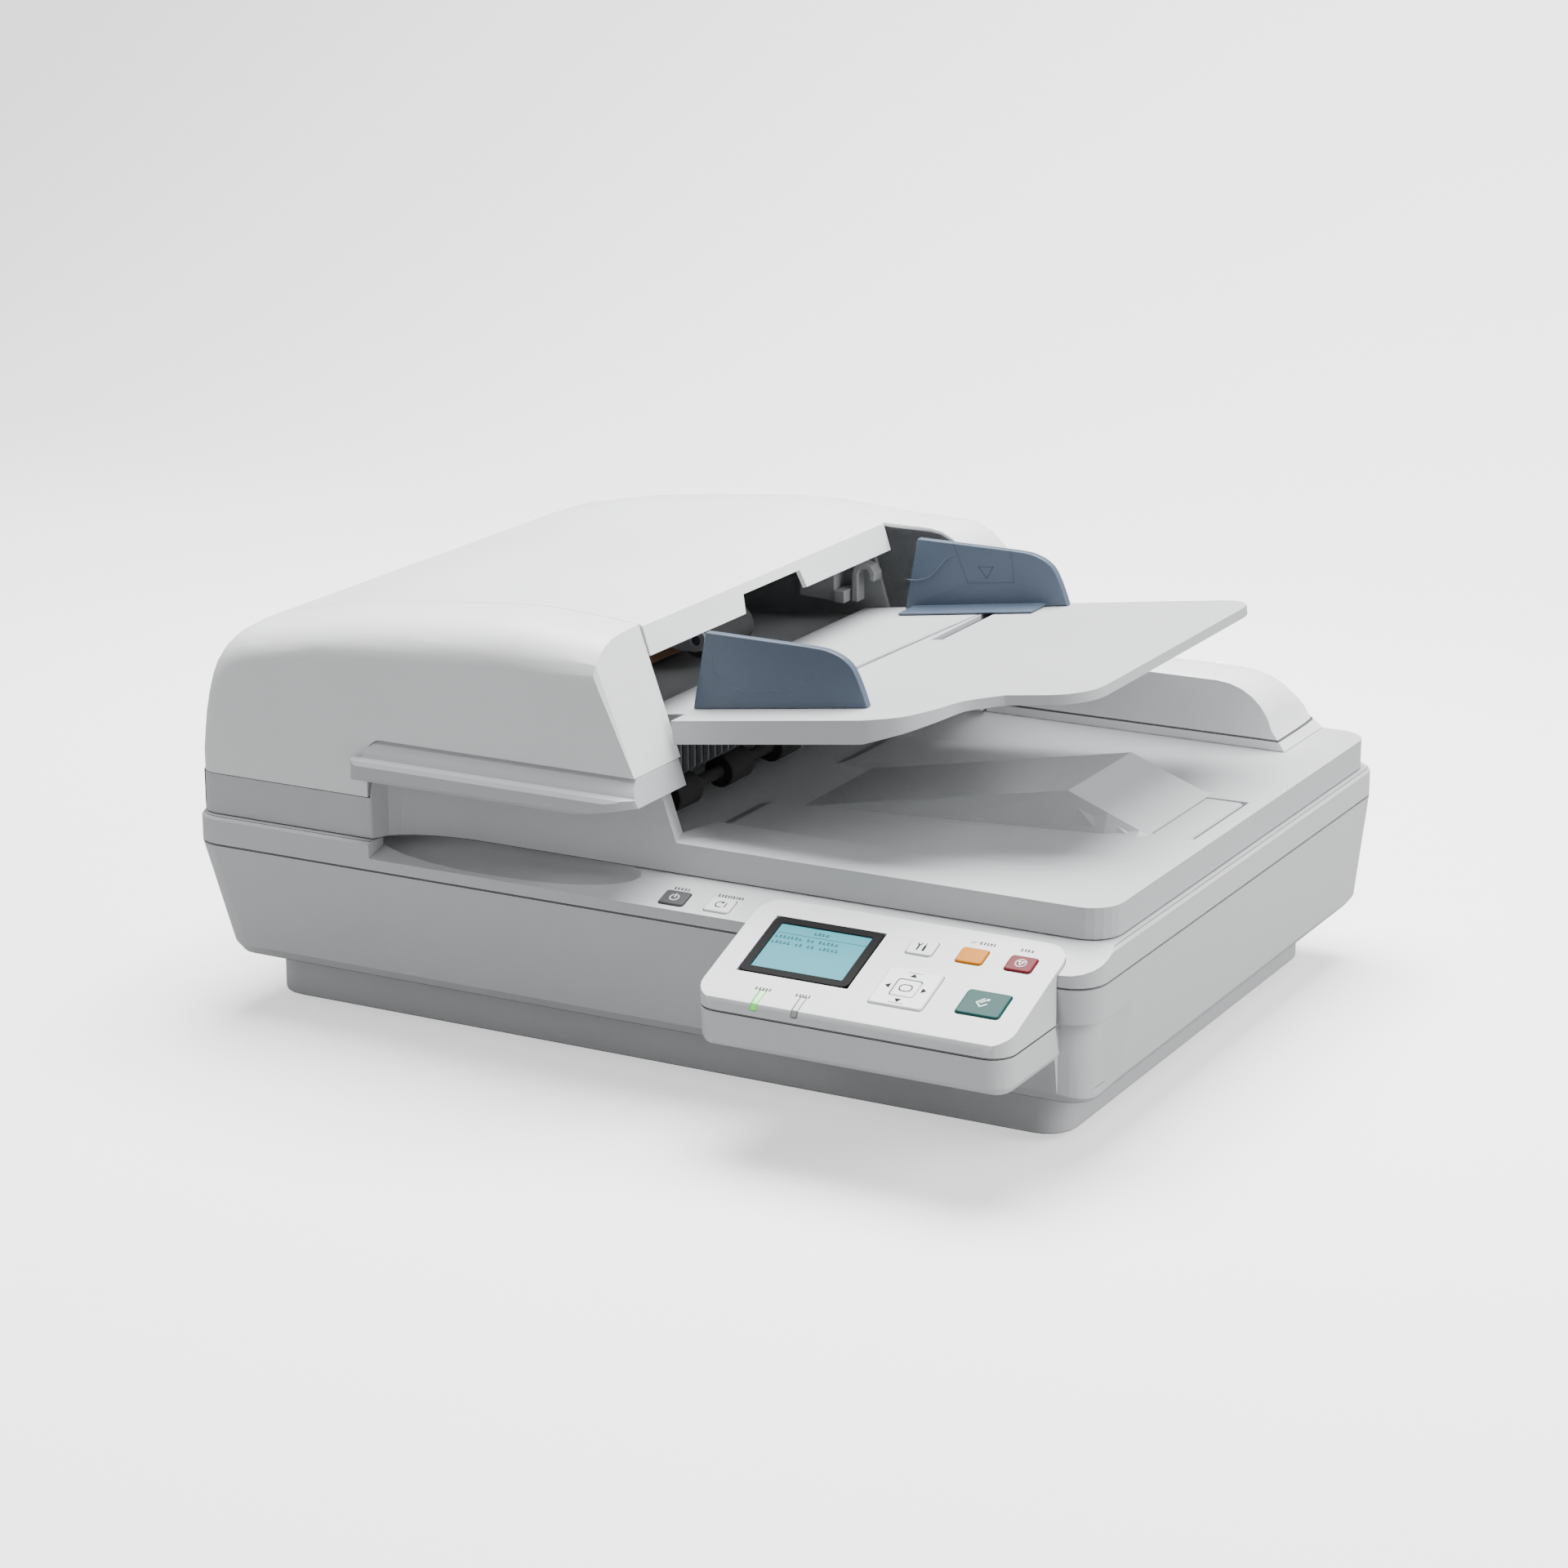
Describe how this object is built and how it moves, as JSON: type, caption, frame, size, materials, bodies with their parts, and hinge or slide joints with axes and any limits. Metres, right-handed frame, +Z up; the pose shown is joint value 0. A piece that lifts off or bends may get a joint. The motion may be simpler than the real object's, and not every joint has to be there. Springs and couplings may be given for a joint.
{
  "type": "sheet fed document scanner",
  "caption": "Flatbed scanner whose hinged lid carries a sheet feeder, input tray with edge guides, output tray and tilted control panel.",
  "frame": {"origin": "on the floor under the middle of the whole object, panel included", "axes": "+Z up, +X to the right as the operator sees it, -Y towards the operator"},
  "size_m": [0.468, 0.396, 0.2085],
  "materials": {
    "white_shell": "satin white moulded ABS",
    "light_grey_shell": "fine-textured light grey ABS",
    "dark_grey_plastic": "dark grey moulding",
    "frame_plastic": "charcoal moulding",
    "mid_grey_plastic": "mid grey moulding",
    "rubber": "matt black rubber",
    "steel": "zinc-plated steel",
    "circuit_board": "solder-masked board",
    "glass": "clear float glass",
    "nylon": "natural nylon",
    "mat_foam": "white film over foam",
    "pad_cork": "cork rubber pad",
    "slate_blue": "muted blue moulding",
    "black_window": "gloss black window with a clear middle",
    "display_glow": "pale blue backlit display",
    "ready_green": "green light bar",
    "error_grey": "unlit light bar",
    "key_grey": "light grey key",
    "key_orange": "orange key",
    "key_red": "dull red key",
    "key_teal": "teal key",
    "key_dark": "dark grey key"
  },
  "bodies": {
    "base": {"base_pan": "light_grey_shell", "lower_case": "light_grey_shell", "upper_case": "light_grey_shell", "platen_glass": "glass", "feed_glass": "glass", "foot_front_left": "rubber", "foot_front_right": "rubber", "foot_rear_left": "rubber", "foot_rear_right": "rubber", "guide_rod": "steel", "support_rail": "steel", "carriage_motor": "mid_grey_plastic", "main_board": "circuit_board", "power_inlet": "dark_grey_plastic", "data_port": "steel", "timing_belt": "rubber", "panel_body": "light_grey_shell", "panel_cover": "light_grey_shell", "display_window": "black_window", "display_module": "display_glow", "panel_board": "circuit_board", "ready_light": "ready_green", "error_light": "error_grey", "hinge_arm_left": "steel", "hinge_arm_right": "steel"},
    "lid": {"lid_base": "light_grey_shell", "handle_plate": "light_grey_shell", "document_mat": "mat_foam", "front_end_cover": "white_shell", "rear_end_cover": "white_shell", "hinge_cover": "white_shell", "feeder_frame": "frame_plastic", "feed_motor": "steel", "separation_pad": "pad_cork"},
    "carriage": {"carriage": "dark_grey_plastic", "lens_bar": "glass"},
    "top_cover": {"top_cover": "white_shell", "cover_liner": "mid_grey_plastic"},
    "input_tray": {"input_tray": "light_grey_shell", "tray_underside": "light_grey_shell"},
    "drive_pulley": {"drive_pulley": "nylon"},
    "idler_pulley": {"idler_pulley": "nylon"},
    "power_button": {"power_button": "key_dark"},
    "wake_button": {"wake_button": "key_grey"},
    "menu_button": {"menu_button": "key_grey"},
    "reset_button": {"reset_button": "key_orange"},
    "stop_button": {"stop_button": "key_red"},
    "start_button": {"start_button": "key_teal"},
    "ok_button": {"ok_button": "key_grey"},
    "arrow_pad": {"arrow_pad": "key_grey"},
    "paper_stopper": {"paper_stopper": "light_grey_shell"},
    "feed_roller": {"feed_roller": "rubber"},
    "turn_roller": {"turn_roller": "rubber"},
    "exit_roller": {"exit_roller": "rubber"},
    "pickup_arm": {"pickup_arm": "mid_grey_plastic"},
    "pickup_roller": {"pickup_roller": "rubber"},
    "guide_front": {"guide_front": "slate_blue"},
    "guide_rear": {"guide_rear": "slate_blue"},
    "rack_pinion": {"rack_pinion": "nylon"}
  },
  "joints": [
    {"name": "lid_hinge", "type": "hinge", "parent": "base", "child": "lid", "pos_m": [0, 0.191, 0.103], "axis": [-1, 0, 0], "range_deg": [0, 75]},
    {"name": "cover_hinge", "type": "hinge", "parent": "lid", "child": "top_cover", "pos_m": [-0.2275, 0.0242, 0.1237], "axis": [0, -1, 0], "range_deg": [0, 78]},
    {"name": "tray_hinge", "type": "hinge", "parent": "lid", "child": "input_tray", "pos_m": [-0.012, 0.0242, 0.1547], "axis": [0, -1, 0], "range_deg": [0, 15]},
    {"name": "guide_front_slide", "type": "slide", "parent": "input_tray", "child": "guide_front", "axis": [0, 1, 0], "range_m": [-0.003, 0.064]},
    {"name": "guide_rear_slide", "type": "slide", "parent": "input_tray", "child": "guide_rear", "axis": [0, -1, 0], "range_m": [-0.003, 0.064]},
    {"name": "rack_pinion_spin", "type": "hinge", "parent": "input_tray", "child": "rack_pinion", "pos_m": [0.05106, 0.0242, 0.16603], "axis": [-0.1305, 0, 0.9914], "range_deg": [-616, 32]},
    {"name": "feed_roller_spin", "type": "hinge", "parent": "lid", "child": "feed_roller", "pos_m": [-0.08, 0.0242, 0.172], "axis": [0, 1, 0], "continuous": true},
    {"name": "turn_roller_spin", "type": "hinge", "parent": "lid", "child": "turn_roller", "pos_m": [-0.15, 0.0242, 0.165], "axis": [0, 1, 0], "continuous": true},
    {"name": "exit_roller_spin", "type": "hinge", "parent": "lid", "child": "exit_roller", "pos_m": [-0.022, 0.0242, 0.112], "axis": [0, 1, 0], "continuous": true},
    {"name": "pickup_arm_hinge", "type": "hinge", "parent": "lid", "child": "pickup_arm", "pos_m": [-0.08, 0.0242, 0.172], "axis": [0, -1, 0], "range_deg": [0, 10]},
    {"name": "pickup_roller_spin", "type": "hinge", "parent": "pickup_arm", "child": "pickup_roller", "pos_m": [-0.042, 0.0242, 0.171], "axis": [0, 1, 0], "continuous": true},
    {"name": "paper_stopper_hinge", "type": "hinge", "parent": "lid", "child": "paper_stopper", "pos_m": [0.2175, 0.0242, 0.1105], "axis": [0, 1, 0], "range_deg": [0, 95]},
    {"name": "carriage_slide", "type": "slide", "parent": "base", "child": "carriage", "axis": [1, 0, 0], "range_m": [0, 0.319]},
    {"name": "drive_pulley_spin", "type": "hinge", "parent": "base", "child": "drive_pulley", "pos_m": [-0.2075, -0.0488, 0.0676], "axis": [0, 1, 0], "range_deg": [0, 2861]},
    {"name": "idler_pulley_spin", "type": "hinge", "parent": "base", "child": "idler_pulley", "pos_m": [0.2075, -0.0488, 0.0676], "axis": [0, 1, 0], "range_deg": [0, 2861]},
    {"name": "menu_button_press", "type": "slide", "parent": "base", "child": "menu_button", "axis": [0, 0.342, -0.9397], "range_m": [0, 0.001], "stiffness_N_per_m": 400},
    {"name": "reset_button_press", "type": "slide", "parent": "base", "child": "reset_button", "axis": [0, 0.342, -0.9397], "range_m": [0, 0.001], "stiffness_N_per_m": 400},
    {"name": "stop_button_press", "type": "slide", "parent": "base", "child": "stop_button", "axis": [0, 0.342, -0.9397], "range_m": [0, 0.001], "stiffness_N_per_m": 400},
    {"name": "start_button_press", "type": "slide", "parent": "base", "child": "start_button", "axis": [0, 0.342, -0.9397], "range_m": [0, 0.001], "stiffness_N_per_m": 400},
    {"name": "ok_button_press", "type": "slide", "parent": "base", "child": "ok_button", "axis": [0, 0.342, -0.9397], "range_m": [0, 0.001], "stiffness_N_per_m": 400},
    {"name": "power_button_press", "type": "slide", "parent": "base", "child": "power_button", "axis": [0, 0.307, -0.9517], "range_m": [0, 0.001], "stiffness_N_per_m": 400},
    {"name": "wake_button_press", "type": "slide", "parent": "base", "child": "wake_button", "axis": [0, 0.307, -0.9517], "range_m": [0, 0.001], "stiffness_N_per_m": 400},
    {"name": "arrow_pad_tilt", "type": "hinge", "parent": "base", "child": "arrow_pad", "pos_m": [0.1593, -0.17285, 0.0806], "axis": [1, 0, 0], "range_deg": [-2.5, 2.5], "stiffness_Nm_per_rad": 0.06}
  ],
  "couplings": [
    {"joint": "guide_rear_slide", "follows": "guide_front_slide", "ratio": 1},
    {"joint": "rack_pinion_spin", "follows": "guide_front_slide", "rad_per_m": -166.67},
    {"joint": "feed_roller_spin", "follows": "turn_roller_spin", "ratio": 1},
    {"joint": "exit_roller_spin", "follows": "turn_roller_spin", "ratio": -1.375},
    {"joint": "pickup_roller_spin", "follows": "turn_roller_spin", "ratio": 1.1579},
    {"joint": "drive_pulley_spin", "follows": "carriage_slide", "rad_per_m": 156.25},
    {"joint": "idler_pulley_spin", "follows": "carriage_slide", "rad_per_m": 156.25}
  ]
}
